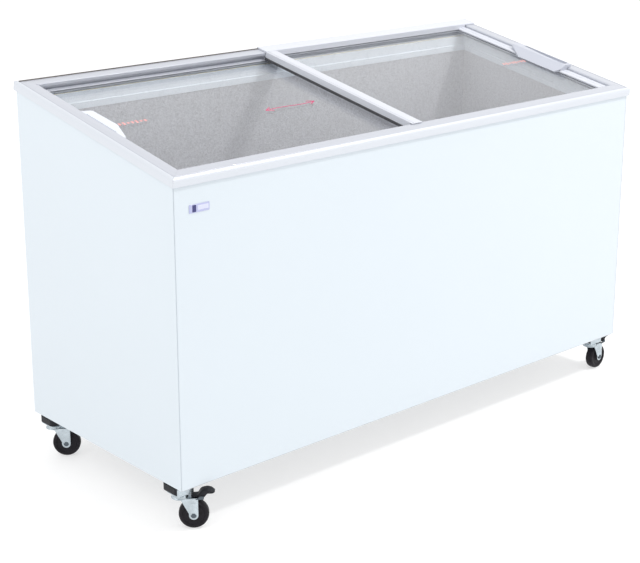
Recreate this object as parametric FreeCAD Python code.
"""Chest freezer for ice cream with an inclined top, two sliding glass lids and four castors.

Millimetres. +Z is up, X runs along the length, the front faces -Y. The origin is on the floor,
under the middle of the cabinet. Each sub-part is one STEP file in parts/.

The top frame and the lids are drawn flat in their own coordinates and then tilted together:
x along the length, s up the slope from front to rear, n out of the rim plane (n = 0 is the rim).
"""
import FreeCAD
import Part
import math
import os

V = FreeCAD.Vector
X, Y, Z = V(1, 0, 0), V(0, 1, 0), V(0, 0, 1)

# ---- driving dimensions -------------------------------------------------------------------
BODY_X = 838.0            # half length of the cabinet over its panels
BODY_Y = 332.0            # half depth of the cabinet over its panels
BODY_Z = 116.0            # height of the panels' lower edge above the floor
SHEET = 1.2               # painted steel sheet
SLOPE = 11.15             # inclination of the top, degrees
RIM_Z = 957.6             # height of the rim plane at its middle
RIM_Y = -3.3              # depth position of the rim plane's middle

FRAME_X = 842.0           # half length of the top frame
FRAME_S = 344.5           # half depth of the top frame, along the slope
RIM = 44.0                # width of the frame's rim
FRAME_FACE = 24.0         # height of the frame's outer face
FRAME_DEEP = 34.0         # depth of the frame under the rim plane
GROOVE = 31.0             # distance from the frame's outer edge to the back of its lid grooves
UPPER_GROOVE = (-19.0, -9.0)
LOWER_GROOVE = (-30.0, -21.0)
COLLAR_LEDGE = -60.0      # depth of the small ledge in the breaker collar
COLLAR_END = -77.0        # depth of the collar's lower edge

LINER_X, LINER_Y = 794.0, 290.0   # half length and half depth of the inner liner
LINER_Z = 176.0           # inner floor of the storage space
LINER_T = 1.0
STEP_X, STEP_Z = 522.0, 440.0     # step in the liner over the machine compartment
ROOM_X, ROOM_Z = 562.0, 400.0     # inner end and ceiling of the machine compartment
TRAY_Z = 113.0            # underside of the base pan

GLASS = 4.0
UPPER_GLASS, LOWER_GLASS = -12.0, -23.5   # top faces of the two panes
LID_END = 796.0           # closed lids end here, inside the end members of the frame
BAR = (-42.0, -4.0)       # centre profile of the upper lid
GRIP_EDGE = 47.0          # runners show this far in from the frame's outer edge

CASTOR_X = (-813.0, 775.0)        # swivel axes, left and right
CASTOR_Y = (-292.0, 277.0)        # swivel axes, front and rear
BLOCK = (50.0, 62.0, 17.0)        # mounting block
BLOCK_SHIFT = 10.0         # the front blocks stand this far behind their swivel axes
PLATE = 24.0              # half width of a castor's square top plate
WHEEL_R, WHEEL_W = 37.5, 24.0
TRAIL = 33.0              # distance from the swivel axis to the wheel axle
LEG_R = 11.5              # rounded lower end of a fork leg
CROWN_Z = 79.5            # underside of the fork crown
PLATE_Z = TRAY_Z - BLOCK[2] - 3.0
KINGPIN_R = 5.0
AXLE_R = 4.0
RUNNING = 0.05            # radial clearance of shafts in their holes
TOUCH = 0.3               # gap between surfaces that pass each other
CASTORS = {               # name: (column, row, direction in which the wheel trails, has a brake)
    "front_left": (0, 0, -40.0, True),
    "front_right": (1, 0, 4.0, True),
    "rear_left": (0, 1, -40.0, False),
    "rear_right": (1, 1, 150.0, False),
}

FAN = V(757.0, -30.0, 250.0)      # centre of the condenser fan
COIL = (775.0, 815.0, -150.0, 90.0, 140.0, 360.0)   # condenser block: x, y, z ranges
COMPRESSOR = V(652.0, 212.0, 0.0)
PANEL_WINDOW = (-300.0, -190.0, 250.0, 380.0)        # control panel opening: y and z ranges
GRILLE_WINDOW = (-150.0, 280.0, 150.0, 360.0)        # side grille opening: y and z ranges
KNOB = V(0, -245.0, 335.0)
LAMP = V(0, -245.0, 278.0)
GLAND = V(700.0, 0, 205.0)
DRAIN = V(-680.0, 225.0, 0.0)
DRAIN_R = 7.0

HUGE = 3000.0


# ---- drawing helpers ----------------------------------------------------------------------
def box(x0, x1, y0, y1, z0, z1):
    return Part.makeBox(x1 - x0, y1 - y0, z1 - z0, V(x0, y0, z0))


def rod(r, start, axis, length):
    return Part.makeCylinder(r, length, start, axis)


def tube(r_out, r_in, start, axis, length):
    return rod(r_out, start, axis, length).cut(rod(r_in, start, axis, length))


def outline(points, place):
    """Closed wire through (u, v) or (u, v, radius) corners; place maps u, v to a Vector."""
    corners = [(V(p[0], p[1], 0), p[2] if len(p) > 2 else 0.0) for p in points]
    count = len(corners)
    starts, ends, middles = [], [], []
    for i, (corner, radius) in enumerate(corners):
        before = (corners[i - 1][0] - corner).normalize()
        after = (corners[(i + 1) % count][0] - corner).normalize()
        half = before.getAngle(after) / 2
        run = radius / math.tan(half)
        centre = corner + (before + after).normalize() * (radius / math.sin(half))
        starts.append(corner + before * run)
        ends.append(corner + after * run)
        middles.append(centre - (before + after).normalize() * radius)
    edges = []
    for i in range(count):
        if corners[i][1] > 0:
            arc = [place(p.x, p.y) for p in (starts[i], middles[i], ends[i])]
            edges.append(Part.Arc(*arc).toShape())
        line = (ends[i], starts[(i + 1) % count])
        if line[0].distanceToPoint(line[1]) > 1e-6:
            edges.append(Part.LineSegment(*[place(p.x, p.y) for p in line]).toShape())
    return Part.Wire(edges)


def prism_x(points, x0, x1):
    """Outline in (y, z), drawn out along X."""
    return Part.Face(outline(points, lambda u, v: V(x0, u, v))).extrude(X * (x1 - x0))


def prism_y(points, y0, y1):
    """Outline in (x, z), drawn out along Y."""
    return Part.Face(outline(points, lambda u, v: V(u, y0, v))).extrude(Y * (y1 - y0))


def prism_z(points, z0, z1):
    """Outline in (x, y), drawn out along Z."""
    return Part.Face(outline(points, lambda u, v: V(u, v, z0))).extrude(Z * (z1 - z0))


def rectangle(x0, x1, y0, y1, r=0.0):
    return [(x0, y0, r), (x1, y0, r), (x1, y1, r), (x0, y1, r)]


def fuse(shapes):
    return shapes[0].multiFuse(shapes[1:]).removeSplitter()


def group(shapes):
    return Part.makeCompound(shapes)


def moved(shape, offset):
    copy = shape.copy()
    copy.translate(offset)
    return copy


def turned(shape, degrees, offset):
    copy = shape.copy()
    copy.rotate(V(0, 0, 0), Z, degrees)
    copy.translate(offset)
    return copy


def tilt(shape):
    """Moves a shape from the flat coordinates of the top onto the inclined rim plane."""
    copy = shape.copy()
    copy.rotate(V(0, 0, 0), X, SLOPE)
    copy.translate(V(0, RIM_Y, RIM_Z))
    return copy


def below(shape, depth):
    """The part of a shape that lies lower than the given depth under the rim plane."""
    return shape.common(tilt(box(-HUGE, HUGE, -HUGE, HUGE, -HUGE, depth)))


def between(shape, low, high):
    return shape.common(tilt(box(-HUGE, HUGE, -HUGE, HUGE, low, high)))


def pipe(points, radius, bend):
    """Round pipe along straight runs joined by tangent arcs."""
    edges, last = [], points[0]
    for before, corner, after in zip(points, points[1:], points[2:]):
        back, ahead = (before - corner).normalize(), (after - corner).normalize()
        half = back.getAngle(ahead) / 2
        run = bend / math.tan(half)
        centre = corner + (back + ahead).normalize() * (bend / math.sin(half))
        start, end = corner + back * run, corner + ahead * run
        middle = centre + (corner - centre).normalize() * bend
        edges += [Part.LineSegment(last, start).toShape(), Part.Arc(start, middle, end).toShape()]
        last = end
    edges.append(Part.LineSegment(last, points[-1]).toShape())
    section = Part.Wire(Part.makeCircle(radius, points[0], points[1] - points[0]))
    return Part.Wire(edges).makePipeShell([section], True, False)


# ---- outer shell --------------------------------------------------------------------------
def long_panel(side):
    """Front (side -1) or rear (side 1) sheet with a return flange at each end."""
    edge, fold = BODY_X - 2.0, 20.0
    outer = [(-edge, side * (BODY_Y - fold)), (-edge, side * BODY_Y, 2.5), (edge, side * BODY_Y, 2.5),
             (edge, side * (BODY_Y - fold)), (edge - SHEET, side * (BODY_Y - fold)),
             (edge - SHEET, side * (BODY_Y - SHEET), 1.3), (-edge + SHEET, side * (BODY_Y - SHEET), 1.3),
             (-edge + SHEET, side * (BODY_Y - fold))]
    return below(prism_z(outer, BODY_Z, RIM_Z + 200), -FRAME_FACE)


def front_panel():
    return long_panel(-1)


def rear_panel():
    """Rear sheet with exhaust slots beside the compressor and the hole of the cord gland."""
    slots = [prism_y(rectangle(x, x + 90, z, z + 6, 2.9), BODY_Y - 5, BODY_Y + 5)
             for x in (572.0, 730.0) for z in range(250, 380, 14)]
    holes = group(slots + [rod(9.0, V(GLAND.x, BODY_Y - 5, GLAND.z), Y, 10)])
    return long_panel(1).cut(holes)


def side_panel(side):
    x0, x1 = sorted((side * BODY_X, side * (BODY_X - SHEET)))
    return below(box(x0, x1, 1 - BODY_Y, BODY_Y - 1, BODY_Z, RIM_Z + 200), -FRAME_FACE)


def left_side_panel():
    return side_panel(-1)


def right_side_panel():
    windows = [box(BODY_X - 5, BODY_X + 5, *w) for w in (GRILLE_WINDOW, PANEL_WINDOW)]
    return side_panel(1).cut(group(windows))


def base_pan():
    """Galvanised tray that closes the bottom, with cooling slots under the compressor."""
    x, y = BODY_X - 4, BODY_Y - 3
    floor = box(-x, x, -y, y, TRAY_Z, TRAY_Z + SHEET)
    wall = box(-x, x, -y, y, TRAY_Z, 135).cut(box(SHEET - x, x - SHEET, SHEET - y, y - SHEET, 100, 140))
    slots = [box(x0, x0 + 6, -60, 60, 100, 140) for x0 in range(600, 740, 14)]
    drain_hole = rod(10.5, V(DRAIN.x, DRAIN.y, 100), Z, 40)
    return floor.fuse(wall).removeSplitter().cut(group(slots + [drain_hole]))


# ---- insulated body -----------------------------------------------------------------------
def liner_block(grow):
    """Storage space with the step over the machine compartment, enlarged by grow on every side."""
    side, floor = LINER_X + grow, LINER_Z - grow
    points = [(-side, floor), (STEP_X + grow, floor), (STEP_X + grow, STEP_Z - grow), (side, STEP_Z - grow),
              (side, RIM_Z + 100), (-side, RIM_Z + 100)]
    return prism_y(points, -LINER_Y - grow, LINER_Y + grow)


def inner_liner():
    shell = below(liner_block(LINER_T).cut(liner_block(0)), COLLAR_END - 0.2)
    return shell.cut(rod(DRAIN_R + 2, V(DRAIN.x, DRAIN.y, 100), Z, 200))


def collar_ring(low, high, inset):
    """Band of the breaker collar between two depths; inset is its position against the liner."""
    x, y = LINER_X - inset, LINER_Y - inset
    ring = box(-LINER_X - 6, LINER_X + 6, -LINER_Y - 6, LINER_Y + 6, 500, 1200)
    ring = ring.cut(box(-x, x, -y, y, 400, 1300))
    return between(ring, low, high)


def breaker_collar():
    upper = collar_ring(COLLAR_LEDGE, -FRAME_DEEP - 0.2, -1.5)
    lower = collar_ring(COLLAR_END, COLLAR_LEDGE, 2.0)
    return upper.fuse(lower).removeSplitter()


def evaporator_coil():
    """D-section tube wound round the liner: high loops round all of it, low loops beside the step."""
    wall, deep, tall = LINER_T, 5.0, 8.0

    def loop(z, x_end):
        out = box(-LINER_X - wall - deep, x_end + wall + deep, -LINER_Y - wall - deep, LINER_Y + wall + deep,
                  z - tall / 2, z + tall / 2)
        return out.cut(box(-LINER_X - wall, x_end + wall, -LINER_Y - wall, LINER_Y + wall, z - tall, z + tall))

    low = [loop(z, STEP_X) for z in (240.0, 320.0, 400.0)]
    high = [loop(z, LINER_X) for z in (480.0, 560.0, 640.0, 720.0)]
    riser = box(-LINER_X - wall - deep, -LINER_X - wall, 200, 200 + tall, 236, 724)
    return fuse(low + high + [riser])


def foam_insulation():
    """Insulation as touching slabs: floor, walls, and the riser and floor of the step."""
    x, y, floor = BODY_X - 5.4, BODY_Y - 4.4, TRAY_Z + SHEET + 0.2
    inner_x, inner_y, top = LINER_X + LINER_T, LINER_Y + LINER_T, RIM_Z + 200
    riser = STEP_X + LINER_T
    slabs = [box(-x, ROOM_X, -inner_y, inner_y, floor, LINER_Z - LINER_T),
             box(-x, -inner_x, -inner_y, inner_y, LINER_Z - LINER_T, top),
             box(riser, ROOM_X, -inner_y, inner_y, LINER_Z - LINER_T, ROOM_Z),
             box(riser, x, -inner_y, inner_y, ROOM_Z, STEP_Z - LINER_T),
             box(inner_x, x, -inner_y, inner_y, STEP_Z - LINER_T, top)]
    for y0, y1 in ((-y, -inner_y), (inner_y, y)):
        slabs += [box(-x, ROOM_X, y0, y1, floor, ROOM_Z), box(-x, x, y0, y1, ROOM_Z, top)]
    recess = between(box(-LINER_X - 6, LINER_X + 6, -LINER_Y - 6, LINER_Y + 6, 500, 1200), COLLAR_END, 0)
    hollows = group([recess, rod(DRAIN_R + 2, V(DRAIN.x, DRAIN.y, 100), Z, 100)])
    coil = evaporator_coil()
    return group([below(slab, -FRAME_DEEP - 0.2).cut(hollows).cut(coil) for slab in slabs])


# ---- top frame ----------------------------------------------------------------------------
def rim_profile(outer_groove):
    """Cross-section of a frame member: t inward from the outer edge, n out of the rim plane."""
    low, up = LOWER_GROOVE, UPPER_GROOVE
    top = [(0, 0, 7), (RIM, 0, 1.5)]
    if outer_groove:
        top = [(0, 0, 5), (7, 0), (7, -3), (10, -3), (10, 0), (RIM, 0, 1.5)]
    inside = [(RIM, up[1]), (GROOVE, up[1]), (GROOVE, up[0]), (RIM, up[0]), (RIM, low[1]), (GROOVE, low[1]),
              (GROOVE, low[0]), (RIM, low[0]), (RIM, -FRAME_DEEP, 1)]
    under = [(14, -FRAME_DEEP), (14, -FRAME_FACE), (0, -FRAME_FACE, 1.5)]
    return top + inside + under


CHAMBER = [(14.0, -21.0), (14.0, -4.0), (28.0, -4.0), (28.0, -31.0), (17.0, -31.0), (17.0, -21.0)]


def rim_member(along_x, sign, outer_groove=False):
    """Hollow extrusion along X (front, rear) or along the slope (left, right), mitred at both ends."""
    half, reach = (FRAME_S, FRAME_X) if along_x else (FRAME_X, FRAME_S)
    draw = prism_x if along_x else prism_y
    profile, chamber = [[(sign * (half - p[0]), *p[1:]) for p in points]
                        for points in (rim_profile(outer_groove), CHAMBER)]
    bar = draw(profile, -reach, reach).cut(draw(chamber, -reach - 1, reach + 1))
    wide = 60.0
    corner = [(-reach, sign * half), (reach, sign * half),
              (reach - wide, sign * (half - wide)), (wide - reach, sign * (half - wide))]
    if not along_x:
        corner = [(v, u) for u, v in corner]
    return tilt(bar.common(prism_z(corner, -FRAME_DEEP - 1, 1)))


def frame_corner_keys():
    """L-shaped keys inside the hollow frame, one in each mitred corner."""
    near, far, arm = 17.4, 27.6, 70.0
    keys = []
    for sx in (-1, 1):
        for sy in (-1, 1):
            points = [(near, near), (arm, near), (arm, far), (far, far), (far, arm), (near, arm)]
            placed = [(sx * (FRAME_X - u), sy * (FRAME_S - v)) for u, v in points]
            keys.append(tilt(prism_z(placed, -20.6, -4.4)))
    return group(keys)


# ---- sliding lids -------------------------------------------------------------------------
def pane(x0, x1, top):
    half = FRAME_S - GROOVE - 5
    return tilt(prism_z(rectangle(x0, x1, -half, half, 4), top - GLASS, top))


def runner_profile(groove, glass_top, gap=0.5):
    """U-section that holds the pane's edge and fills a groove of the frame with a little play."""
    low, high = groove[0] + gap, groove[1] - gap
    back, seat = GROOVE + 1, GROOVE + 5
    return [(back, high), (GRIP_EDGE, high, 0.6), (GRIP_EDGE, glass_top), (seat, glass_top),
            (seat, glass_top - GLASS), (GRIP_EDGE, glass_top - GLASS), (GRIP_EDGE, low, 0.6), (back, low)]


def runner(profile, sign, x0, x1):
    return tilt(prism_x([(sign * (FRAME_S - p[0]), *p[1:]) for p in profile], x0, x1))


def cross_bar(points, play=0.0):
    """Lid profile across the opening, between the two runners; outline in (x, n)."""
    half = FRAME_S - GRIP_EDGE - play
    return prism_y(points, -half, half)


def right_lid_glass():
    return pane(BAR[0] + 4, LID_END - 1, UPPER_GLASS)


def right_lid_front_runner():
    return runner(runner_profile(UPPER_GROOVE, UPPER_GLASS), -1, BAR[0] + 4, LID_END - 1)


def right_lid_rear_rail():
    """Rear runner with a cover strip that lies over the rear rim and is guided in its outer groove.

    The runner stops inside the end member; only the cover strip runs on over the corner.
    """
    web = RIM + 0.7
    profile = [(GROOVE + 1, -9.5), (web, -9.5), (web, 0.5), (9.5, 0.5), (9.5, -2.5), (7.5, -2.5), (7.5, 0.5),
               (3, 0.5), (3, 4.5, 2), (GRIP_EDGE, 4.5, 1)]
    profile += runner_profile(UPPER_GROOVE, UPPER_GLASS)[2:]
    rail = runner(profile, 1, BAR[0], FRAME_X - 4)
    corner = box(LID_END - 1, FRAME_X + 5, -FRAME_S, FRAME_S, -FRAME_DEEP, 0.5)
    return rail.cut(tilt(corner))


def right_lid_centre_profile():
    left, right = BAR
    seat = left + 4
    points = [(left, -19.5), (left, 3, 3), (right, 3, 3), (right, UPPER_GLASS), (seat, UPPER_GLASS),
              (seat, UPPER_GLASS - GLASS), (right, UPPER_GLASS - GLASS), (right, -19.5, 1)]
    foot = prism_z(rectangle(left, right, -FRAME_S + 38, -FRAME_S + GRIP_EDGE + 2), 0.5, 3)
    return tilt(cross_bar(points).fuse(foot).removeSplitter())


def right_lid_seal():
    """Soft lip along the foot of the centre profile, just above the lower lid."""
    left = BAR[0]
    return tilt(cross_bar([(left - 3, -21), (left - 3, -14, 1), (left, -14), (left, -21)]))


def right_lid_end_profile():
    """White profile along the upper lid's right-hand edge."""
    inner, seat = LID_END - 32, LID_END - 1
    points = [(inner, -18.5), (inner, -6, 2), (LID_END, -6, 2), (LID_END, -18.5)]
    slot = box(inner - 1, seat, -FRAME_S, FRAME_S, UPPER_GLASS - GLASS, UPPER_GLASS)
    return tilt(cross_bar(points).cut(slot))


def right_lid_handle():
    """Raised grip on the right-hand edge: an inner ramp, and a finger pocket next to the rim."""
    front, rear, top = -135.0, 80.0, 8.5
    inner, crest, outer = LID_END - 46, LID_END - 12, LID_END + 20
    section = [(inner, UPPER_GLASS), (LID_END - 33, UPPER_GLASS), (LID_END - 33, -5.5), (LID_END + 1, -5.5),
               (LID_END + 1, 0.8), (outer - 2, 0.8), (outer, top, 2), (crest, top, 5),
               (inner, UPPER_GLASS + 1.2)]
    body = prism_y(section, front, rear)
    shape = prism_z([(inner - 1, front + 12), (inner + 18, front), (outer + 1, front, 8), (outer + 1, rear, 14),
                     (inner + 30, rear, 10), (inner - 1, rear - 60)], -20, 20)
    pocket = prism_z([(crest, front + 12, 4), (outer - 3, front + 12, 4), (outer - 3, rear - 30, 2),
                      (outer - 11, rear - 30, 2)], 2.5, 20)
    return tilt(body.common(shape).cut(pocket))


def left_lid_glass():
    return pane(-LID_END + 1, 10, LOWER_GLASS)


def left_lid_runners():
    profile = runner_profile(LOWER_GROOVE, LOWER_GLASS)
    return group([runner(profile, sign, -LID_END + 1, 10) for sign in (-1, 1)])


def left_lid_profiles():
    """Profiles along both cross edges of the lower lid; the inner one hides under the upper lid."""
    inner = cross_bar([(-2, -29.5), (-2, -17.5, 1), (14, -17.5, 1), (14, -29.5)], 1.0)
    end = cross_bar([(-LID_END, -29.5), (-LID_END, -19, 1), (-LID_END + 10, -19, 1), (-LID_END + 10, -29.5)],
                    1.0)
    slot = box(-LID_END + 1, 10, -FRAME_S, FRAME_S, LOWER_GLASS - GLASS, LOWER_GLASS)
    return group([tilt(bar.cut(slot)) for bar in (inner, end)])


def left_lid_handle():
    """Flat grip with a long finger slot, low enough to pass under the upper lid."""
    top = LOWER_GLASS + 5.6
    edge = -LID_END + 10
    points = [(edge, -50, 3), (edge + 17, -56, 5), (edge + 46, 24, 30), (edge + 42, 131, 8), (edge, 140, 4)]
    slot = prism_z(rectangle(edge + 9, edge + 16, -18, 116, 3.4), top - 3.5, top + 1)
    return tilt(prism_z(points, LOWER_GLASS, top).cut(slot))


# ---- castors ------------------------------------------------------------------------------
def castor_spots():
    return [V(CASTOR_X[column], CASTOR_Y[row], 0) for column, row, *_ in CASTORS.values()]


def castor_blocks():
    """Moulded blocks that hold the castors' top plates under the base pan."""
    length, width, height = BLOCK
    blocks = []
    for spot in castor_spots():
        x = math.copysign(1, spot.x) * min(abs(spot.x), BODY_X - length / 2)
        y = spot.y + (BLOCK_SHIFT if spot.y < 0 else 0)
        plan = rectangle(x - length / 2, x + length / 2, y - width / 2, y + width / 2, 12)
        blocks.append(prism_z(plan, TRAY_Z - height, TRAY_Z))
    return group(blocks)


def castor_plates():
    """Top plates with the fixed race and the kingpin; the front ones turn up before their blocks."""
    plate = prism_z(rectangle(-PLATE, PLATE, -PLATE, PLATE, 5), PLATE_Z, PLATE_Z + 3)
    race = Part.makeCone(17, 20, 3, V(0, 0, PLATE_Z - 3), Z)
    pin = rod(KINGPIN_R, V(0, 0, CROWN_Z - 1), Z, PLATE_Z - CROWN_Z + 1)
    head = Part.makeCone(6, 8, 2.5, V(0, 0, CROWN_Z - 2.5 - TOUCH), Z)
    unit = fuse([plate, race, pin, head])
    flange = box(-PLATE, PLATE, -PLATE, -PLATE + 3, PLATE_Z, TRAY_Z)
    return group([moved(unit.fuse(flange) if spot.y < 0 else unit, spot) for spot in castor_spots()])


def castor_bolts():
    """Heads of the four screws that hold each plate to its block."""
    inset, height = PLATE - 7.0, 2.6
    return group([rod(4, spot + V(dx, dy, PLATE_Z - height), Z, height)
                  for spot in castor_spots() for dx in (-inset, inset) for dy in (-inset, inset)])


def fork():
    """Pressed fork in its own frame: swivel axis at the origin, wheel trailing along +X."""
    inner, sheet = WHEEL_W / 2 + 2, 2.5
    right, top = TRAIL + LEG_R, CROWN_Z + 3
    leg_points = [(2, top), (TRAIL - LEG_R + 1, WHEEL_R + 6), (TRAIL - LEG_R, WHEEL_R - LEG_R, LEG_R - 0.5),
                  (right, WHEEL_R - LEG_R, LEG_R - 0.5), (right, top)]
    legs = [prism_y(leg_points, y, y + sheet) for y in (inner, -inner - sheet)]
    crown = prism_z([(0, -inner - sheet), (right, -inner - sheet, 2), (right, inner + sheet, 2),
                     (0, inner + sheet)], CROWN_Z, top)
    disc = rod(22, V(0, 0, CROWN_Z), Z, 3)
    race = Part.makeCone(20, 17, PLATE_Z - 3 - TOUCH - top, V(0, 0, top), Z)
    body = fuse(legs + [crown, disc, race])
    body = body.cut(rod(KINGPIN_R + RUNNING, V(0, 0, 0), Z, 120))
    return body.cut(rod(AXLE_R, V(TRAIL, -30, WHEEL_R), Y, 60))


def axle():
    """Axle bolt with head and nut outside the fork legs."""
    outside = WHEEL_W / 2 + 4.5
    shank = rod(AXLE_R, V(TRAIL, -outside, WHEEL_R), Y, 2 * outside)
    head = rod(6.5, V(TRAIL, -outside - 3, WHEEL_R), Y, 3)
    nut = Part.Face(Part.Wire(Part.makePolygon(
        [V(TRAIL + 7 * math.cos(a), outside, WHEEL_R + 7 * math.sin(a))
         for a in [math.radians(60 * i) for i in range(7)]]))).extrude(Y * 4)
    return fuse([shank, head, nut])


def wheel():
    """Solid moulded wheel with a rounded tread, a dished face and a bored hub."""
    half, r = WHEEL_W / 2, WHEEL_R
    points = [(AXLE_R + RUNNING, -half), (12, -half, 1), (14, 3 - half, 1), (r - 10, 3 - half, 1),
              (r - 8, -half, 1), (r, -half, 5), (r, half, 5), (r - 8, half, 1), (r - 10, half - 3, 1),
              (14, half - 3, 1), (12, half, 1), (AXLE_R + RUNNING, half)]
    face = Part.Face(outline(points, lambda u, v: V(u, v, 0)))
    solid = face.revolve(V(0, 0, 0), Y, 360)
    return moved(solid, V(TRAIL, 0, WHEEL_R))


PEDAL_PIVOT = V(TRAIL + LEG_R + 10, 0, CROWN_Z + 5)


def brake_pedal():
    """Black foot paddle that stands out beyond the wheel; its root lies over the fork's crown."""
    x, z = PEDAL_PIVOT.x, PEDAL_PIVOT.z
    side = [(x - 27, z - 0.5, 1), (x - 9, z - 1), (x - 5, z - 3.4, 1), (x + 5, z - 3.4, 1), (x + 13, z + 8, 4),
            (x + 26, z + 8.5, 3), (x + 31, z + 10, 1.5), (x + 29, z + 14, 2), (x + 12, z + 19, 8),
            (x - 4, z + 17, 4), (x - 8, z + 9, 4), (x - 10, z + 4.5), (x - 27, z + 4, 1)]
    body = prism_y(side, -15, 15)
    plan = prism_z([(x - 28, -11), (x - 9, -11), (x - 8, -15), (x + 22, -15, 9), (x + 32, -9, 7), (x + 32, 9, 7),
                    (x + 22, 15, 9), (x - 8, 15), (x - 9, 11), (x - 28, 11)], z - 20, z + 30)
    return body.common(plan).cut(rod(2 + RUNNING, V(x, -30, z), Y, 60))


def pedal_pin():
    """Pin with two rivet heads, and the two ears of the fork that it runs through."""
    x, z = PEDAL_PIVOT.x, PEDAL_PIVOT.z
    pin = fuse([rod(2, V(x, -19, z), Y, 38), rod(3.6, V(x, -19, z), Y, 1.7), rod(3.6, V(x, 17.3, z), Y, 1.7)])
    ear_points = [(TRAIL + LEG_R - 6, CROWN_Z), (x + 4, CROWN_Z, 1), (x + 5, z + 4, 3), (x - 5, z + 4, 3)]
    ears = [prism_y(ear_points, y, y + 2) for y in (15.3, -17.3)]
    bridge = box(TRAIL + LEG_R - 6, TRAIL + LEG_R + 3, -17.3, 17.3, CROWN_Z - 0.5, CROWN_Z + 1)
    return fuse([pin, bridge] + ears)


# ---- machine compartment ------------------------------------------------------------------
def compressor():
    """Hermetic can with a welded seam, a foot plate and three short stubs."""
    x, y = COMPRESSOR.x, COMPRESSOR.y
    can = rod(74, V(x, y, 132), Z, 150)
    can = can.makeFillet(38, [e for e in can.Edges if len(e.Vertexes) == 1])
    seam = rod(77, V(x, y, 196), Z, 5)
    feet = prism_z(rectangle(x - 80, x + 80, y - 60, y + 60, 12), 126, 129)
    ring = rod(40, V(x, y, 128), Z, 10)
    stub = rod(5, V(x - 40, y, 265), Z, 30)
    return fuse([can, seam, feet, ring, stub])


def compressor_feet():
    x, y = COMPRESSOR.x, COMPRESSOR.y
    return group([rod(11, V(x + dx, y + dy, TRAY_Z + SHEET), Z, 126 - TRAY_Z - SHEET)
                  for dx in (-68, 68) for dy in (-48, 48)])


def relay_cover():
    x, y = COMPRESSOR.x, COMPRESSOR.y
    return prism_x(rectangle(y - 104, y - 40, 206, 262, 5), x - 30, x + 30).cut(compressor())


def condenser():
    """Finned block: upright fins on two rows of tubes."""
    x0, x1, y0, y1, z0, z1 = COIL
    pitch, columns, rows = 8.0, (x0 + 10, x1 - 10), range(int(z0) + 14, int(z1), 28)
    fin_places = [y0 + 2 + pitch * i for i in range(int((y1 - y0) / pitch))]
    fins = [box(x0, x1, y, y + 1, z0, z1) for y in fin_places]
    tubes = [rod(4, V(x, y0 - 8, z), Y, y1 - y0 + 16) for x in columns for z in rows]
    ends = [box(x0 - 1, x1 + 1, y, y + 2, z0 - 1, z1 + 1) for y in (y0 - 2, y1)]
    return tubes[0].multiFuse(tubes[1:] + fins + ends)


def fan_shroud():
    """Plate with a round mouth in front of the condenser, and its folded foot on the base pan."""
    x, y0, y1, z0, z1 = FAN.x + 11, COIL[2], COIL[3], COIL[4], COIL[5]
    plate = box(x, x + 2, y0, y1, TRAY_Z + SHEET, z1)
    foot = box(x, x + 30, y0, y1, TRAY_Z + SHEET, TRAY_Z + 2 * SHEET)
    lip = rod(98, V(x - 8, FAN.y, FAN.z), X, 8)
    return fuse([plate, foot, lip]).cut(rod(95, V(x - 20, FAN.y, FAN.z), X, 60))


def fan_motor():
    """Shaded-pole motor on a cross of four arms that stand on the shroud."""
    y, z = FAN.y, FAN.z
    front = FAN.x - 19
    body = rod(32, V(front - 42, y, z), X, 42)
    spokes = [box(front - 3, front, y - 6, y + 6, z - 112, z + 112),
              box(front - 3, front, y - 112, y + 112, z - 6, z + 6)]
    ends = [(0, 108), (0, -108), (108, 0), (-108, 0)]
    legs = [box(front - 3, FAN.x + 11, y + dy - 5, y + dy + 5, z + dz - 5, z + dz + 5) for dy, dz in ends]
    bore = rod(4 + RUNNING, V(front - 12, y, z), X, 30)
    return fuse([body] + spokes + legs).cut(bore)


def fan_blade():
    y, z = FAN.y, FAN.z
    hub = rod(18, V(FAN.x - 11, y, z), X, 20)
    shaft = rod(4, V(FAN.x - 28, y, z), X, 20)
    parts = [hub, shaft]
    for i in range(5):
        blade = prism_z([(FAN.x - 1.2, -22, 0.5), (FAN.x + 1.2, -22, 0.5), (FAN.x + 1.2, 22, 0.5),
                         (FAN.x - 1.2, 22, 0.5)], 14, 90)
        blade.rotate(V(FAN.x, 0, 0), Z, 24)
        blade.rotate(V(FAN.x, 0, 0), X, 72 * i)
        parts.append(moved(blade, V(-1, y, z)))
    return fuse(parts)


def filter_drier():
    at = V(605, -210, 200)
    body = rod(10, at, Z, 80)
    cones = [Part.makeCone(3, 10, 14, at - Z * 14, Z), Part.makeCone(10, 3, 14, at + Z * 80, Z)]
    return fuse([body] + cones)


def refrigerant_pipes():
    """Discharge line to the condenser, liquid line to the drier, capillary and suction line."""
    x0, x1, y0, y1, z0, z1 = COIL
    top = z0 + 14 + 28 * 7
    cx, cy = COMPRESSOR.x, COMPRESSOR.y
    suction = pipe([V(cx - 40, cy, 295), V(cx - 40, cy, 350), V(cx - 40, 60, 350),
                    V(ROOM_X, 60, 350)], 4.5, 22)
    discharge = pipe([V(cx + 76, cy, 240), V(x0 + 10, cy, 240), V(x0 + 10, cy, top),
                      V(x0 + 10, y1 + 8, top)], 3, 18)
    liquid = pipe([V(x0 + 10, y0 - 8, z0 + 14), V(x0 + 10, -210, z0 + 14), V(605, -210, z0 + 14),
                   V(605, -210, 186)], 3, 14)
    capillary = pipe([V(605, -210, 294), V(605, -210, 340), V(ROOM_X, -210, 340)], 2.5, 20)
    return group([suction, discharge, liquid, capillary])


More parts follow.
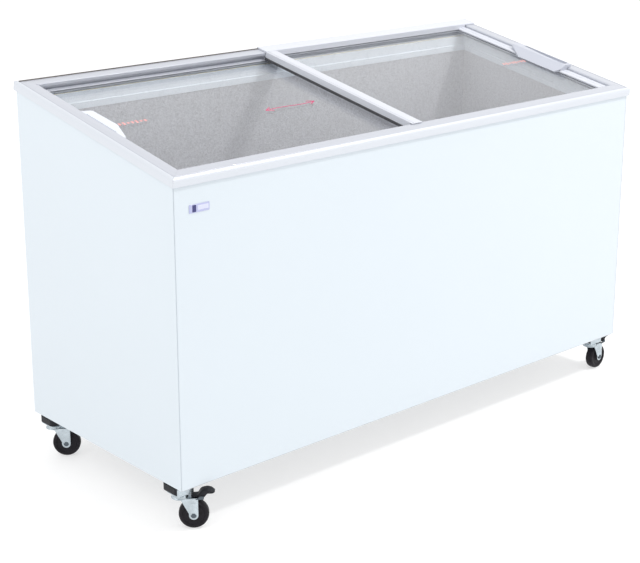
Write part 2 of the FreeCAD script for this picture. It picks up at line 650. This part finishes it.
# ---- controls, grille, badge, drain and gland ---------------------------------------------
def side_grille():
    """Moulded louvre plate over the opening beside the condenser."""
    y0, y1, z0, z1 = GRILLE_WINDOW
    plate = prism_x(rectangle(y0 - 12, y1 + 12, z0 - 12, z1 + 12, 8), BODY_X, BODY_X + 3)
    pitch, columns, gap = 13.0, 3, 12.0
    wide = (y1 - y0 - gap * (columns + 1)) / columns
    slots = [prism_x(rectangle(y, y + wide, z, z + 6, 2.9), BODY_X - 5, BODY_X + 8)
             for y in [y0 + gap + i * (wide + gap) for i in range(columns)]
             for z in [z0 + 6 + pitch * i for i in range(int((z1 - z0 - 8) / pitch))]]
    return plate.cut(group(slots))


def control_panel():
    """Recessed tray in the right side panel that holds the thermostat and the pilot lamp."""
    y0, y1, z0, z1 = PANEL_WINDOW
    deep = BODY_X - 11
    rim = prism_x(rectangle(y0 - 8, y1 + 8, z0 - 8, z1 + 8, 6), BODY_X, BODY_X + 2)
    cup = prism_x(rectangle(y0 + 0.5, y1 - 0.5, z0 + 0.5, z1 - 0.5, 3), deep, BODY_X + 1)
    hollow = prism_x(rectangle(y0 + 3, y1 - 3, z0 + 3, z1 - 3, 2), deep + 2, BODY_X + 5)
    holes = [rod(3.5, V(deep - 5, KNOB.y, KNOB.z), X, 20), rod(4, V(deep - 5, LAMP.y, LAMP.z), X, 20)]
    return rim.fuse(cup).removeSplitter().cut(hollow).cut(group(holes))


def thermostat_body():
    deep = BODY_X - 11
    case = prism_x(rectangle(KNOB.y - 22, KNOB.y + 22, KNOB.z - 30, KNOB.z + 25, 3), deep - 32, deep)
    return case.cut(rod(3 + RUNNING, V(deep - 14, KNOB.y, KNOB.z), X, 30))


def thermostat_knob():
    """Fluted knob with a pointer ridge, on its own spindle."""
    deep = BODY_X - 9
    body = rod(17, V(deep + TOUCH, KNOB.y, KNOB.z), X, 10)
    flutes = [rod(2, V(deep - 1, KNOB.y + 18.4 * math.cos(a), KNOB.z + 18.4 * math.sin(a)), X, 20)
              for a in [math.radians(15 + 30 * i) for i in range(12)]]
    pointer = box(deep + 10, deep + 12.5, KNOB.y - 1.5, KNOB.y + 1.5, KNOB.z, KNOB.z + 15)
    spindle = rod(3, V(deep - 14, KNOB.y, KNOB.z), X, 16)
    return fuse([body.cut(group(flutes)), pointer, spindle])


def pilot_lamp():
    deep = BODY_X - 11
    stem = rod(4, V(deep - 12, LAMP.y, LAMP.z), X, 14)
    cap = Part.makeSphere(5, V(deep + 3, LAMP.y, LAMP.z), X, 0, 90)
    dome = rod(6, V(deep + 2, LAMP.y, LAMP.z), X, 2).fuse(cap)
    return stem.fuse(dome).removeSplitter()


def cord_gland():
    """Strain-relief bush in the rear panel where the supply cord enters."""
    y = BODY_Y - 14
    sleeve = rod(9, V(GLAND.x, y, GLAND.z), Y, 20)
    flange = rod(12.5, V(GLAND.x, BODY_Y, GLAND.z), Y, 3)
    nut = tube(13, 9, V(GLAND.x, BODY_Y - SHEET - 5, GLAND.z), Y, 5)
    return fuse([sleeve, flange, nut]).cut(rod(4, V(GLAND.x, y - 1, GLAND.z), Y, 30))


def badge():
    x0, x1, z0, z1 = -794.0, -735.0, 800.0, 820.0
    return prism_y(rectangle(x0, x1, z0, z1, 2.5), -BODY_Y - 1.6, -BODY_Y)


def drain_tube():
    """Flanged tube from the floor of the storage space to a spout under the cabinet."""
    at = V(DRAIN.x, DRAIN.y, 0)
    body = rod(DRAIN_R + 2, at + Z * 88, Z, LINER_Z - 88)
    flange = rod(16, at + Z * LINER_Z, Z, 1.5)
    barb = Part.makeCone(DRAIN_R + 2, DRAIN_R + 3, 3, at + Z * 103, Z)
    return fuse([body, flange, barb]).cut(rod(DRAIN_R, at, Z, 300))


def drain_plug():
    """Lift-out plug with a pull loop."""
    at = V(DRAIN.x, DRAIN.y, LINER_Z + 1.5)
    stem = rod(DRAIN_R - RUNNING, at - Z * 20, Z, 20)
    head = rod(13, at, Z, 4)
    loop = prism_y([(at.x - 9, at.z + 3), (at.x - 9, at.z + 20, 8), (at.x + 9, at.z + 20, 8), (at.x + 9, at.z + 3)],
                   at.y - 2, at.y + 2)
    eye = prism_y([(at.x - 6, at.z + 5), (at.x - 6, at.z + 17, 5), (at.x + 6, at.z + 17, 5), (at.x + 6, at.z + 5)],
                  at.y - 5, at.y + 5)
    return fuse([stem, head, loop.cut(eye)])


# ---- assembly -----------------------------------------------------------------------------
def build():
    parts = {
        "front_panel": front_panel(),
        "rear_panel": rear_panel(),
        "left_side_panel": left_side_panel(),
        "right_side_panel": right_side_panel(),
        "base_pan": base_pan(),
        "foam_insulation": foam_insulation(),
        "inner_liner": inner_liner(),
        "breaker_collar": breaker_collar(),
        "evaporator_coil": evaporator_coil(),
        "top_frame_front": rim_member(True, -1),
        "top_frame_rear": rim_member(True, 1, outer_groove=True),
        "top_frame_left": rim_member(False, -1),
        "top_frame_right": rim_member(False, 1),
        "frame_corner_keys": frame_corner_keys(),
        "right_lid_glass": right_lid_glass(),
        "right_lid_front_runner": right_lid_front_runner(),
        "right_lid_rear_rail": right_lid_rear_rail(),
        "right_lid_centre_profile": right_lid_centre_profile(),
        "right_lid_seal": right_lid_seal(),
        "right_lid_end_profile": right_lid_end_profile(),
        "right_lid_handle": right_lid_handle(),
        "left_lid_glass": left_lid_glass(),
        "left_lid_runners": left_lid_runners(),
        "left_lid_profiles": left_lid_profiles(),
        "left_lid_handle": left_lid_handle(),
        "castor_blocks": castor_blocks(),
        "castor_plates": castor_plates(),
        "castor_bolts": castor_bolts(),
        "compressor": compressor(),
        "compressor_feet": compressor_feet(),
        "relay_cover": relay_cover(),
        "condenser": condenser(),
        "fan_shroud": fan_shroud(),
        "fan_motor": fan_motor(),
        "fan_blade": fan_blade(),
        "filter_drier": filter_drier(),
        "refrigerant_pipes": refrigerant_pipes(),
        "side_grille": side_grille(),
        "control_panel": control_panel(),
        "thermostat_body": thermostat_body(),
        "thermostat_knob": thermostat_knob(),
        "pilot_lamp": pilot_lamp(),
        "cord_gland": cord_gland(),
        "badge": badge(),
        "drain_tube": drain_tube(),
        "drain_plug": drain_plug(),
    }
    for (name, (_, _, angle, brake)), spot in zip(CASTORS.items(), castor_spots()):
        frame = fuse([fork(), pedal_pin()]) if brake else fork()
        parts[name + "_fork"] = turned(frame, angle, spot)
        parts[name + "_axle"] = turned(axle(), angle, spot)
        parts[name + "_wheel"] = turned(wheel(), angle, spot)
        if brake:
            parts[name + "_brake_pedal"] = turned(brake_pedal(), angle, spot)
    return parts


os.makedirs("parts", exist_ok=True)
for node, shape in build().items():
    shape.exportStep("parts/" + node + ".step")
